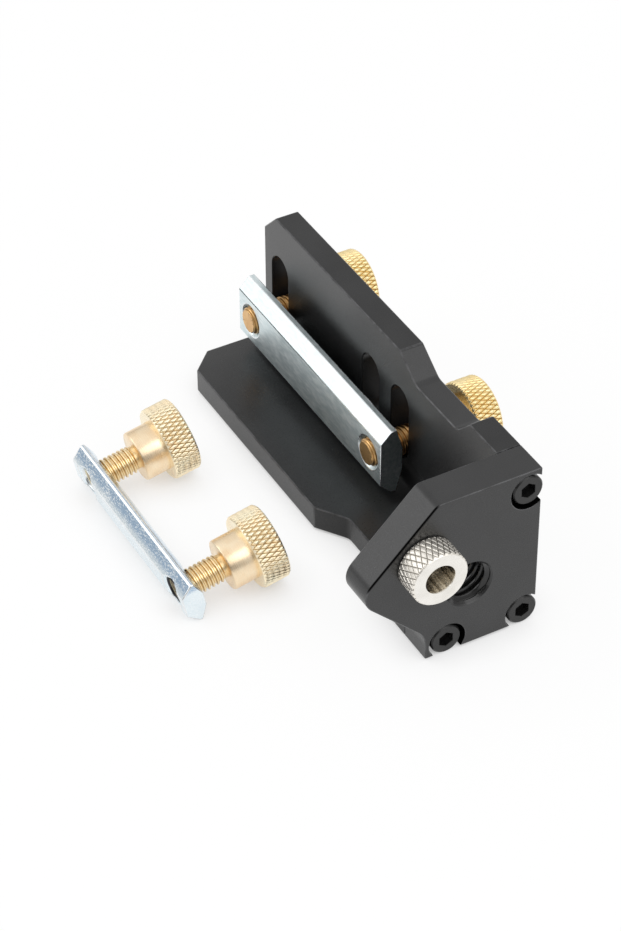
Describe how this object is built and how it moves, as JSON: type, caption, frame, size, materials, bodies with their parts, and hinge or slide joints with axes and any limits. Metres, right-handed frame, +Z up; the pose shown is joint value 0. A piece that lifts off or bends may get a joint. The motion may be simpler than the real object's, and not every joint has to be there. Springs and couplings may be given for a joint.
{
  "type": "tapping guide jig",
  "caption": "Tapping guide jig for slotted aluminium section: black angle and end plate, knurled guide bushing, slot bar clamp with brass thumb screws, and a smaller spare clamp",
  "frame": {"origin": "where the plane of the fence, the plane of the stop face and the underside of the angle meet", "axes": "+X out of the upright leg towards the thumb screws, +Y from the stop face along the angle, +Z up"},
  "size_m": [0.0756, 0.1075, 0.0386],
  "materials": {
    "black_anodised": "satin black anodised",
    "black_oxide": "black oxide",
    "bright_steel": "bright plated, diamond knurl",
    "zinc_plate": "blue-white zinc plate",
    "brass": "turned, diamond knurl"
  },
  "bodies": {
    "jig": {"angle_body": "black_anodised", "end_plate": "black_anodised", "cap_screw_top": "black_oxide", "cap_screw_corner": "black_oxide", "cap_screw_foot": "black_oxide"},
    "bushing": {"guide_bushing": "bright_steel"},
    "clamp": {"clamp_bar": "zinc_plate"},
    "far_screw": {"thumb_screw_far": "brass"},
    "near_screw": {"thumb_screw_near": "brass"},
    "spare": {"spare_bar": "zinc_plate"},
    "spare_far": {"spare_screw_far": "brass"},
    "spare_near": {"spare_screw_near": "brass"}
  },
  "joints": [
    {"name": "bushing_turn", "type": "hinge", "parent": "jig", "child": "bushing", "pos_m": [-0.02, -0.0078, 0.0254], "axis": [0, 1, 0], "continuous": true},
    {"name": "clamp_raise", "type": "slide", "parent": "jig", "child": "clamp", "axis": [0, 0, 1], "range_m": [0, 0.0102]},
    {"name": "far_screw_turn", "type": "hinge", "parent": "clamp", "child": "far_screw", "pos_m": [0, 0.0859, 0.0152], "axis": [1, 0, 0], "continuous": true},
    {"name": "near_screw_turn", "type": "hinge", "parent": "clamp", "child": "near_screw", "pos_m": [0, 0.0359, 0.0152], "axis": [1, 0, 0], "continuous": true},
    {"name": "spare_lift", "type": "slide", "parent": "jig", "child": "spare", "axis": [0, 0, 1], "range_m": [0, 0.04]},
    {"name": "spare_far_turn", "type": "hinge", "parent": "spare", "child": "spare_far", "pos_m": [-0.05512, 0.0674, 0.00376], "axis": [0.9802, 0, 0.1981], "continuous": true},
    {"name": "spare_near_turn", "type": "hinge", "parent": "spare", "child": "spare_near", "pos_m": [-0.05512, 0.0292, 0.00376], "axis": [0.9802, 0, 0.1981], "continuous": true}
  ]
}
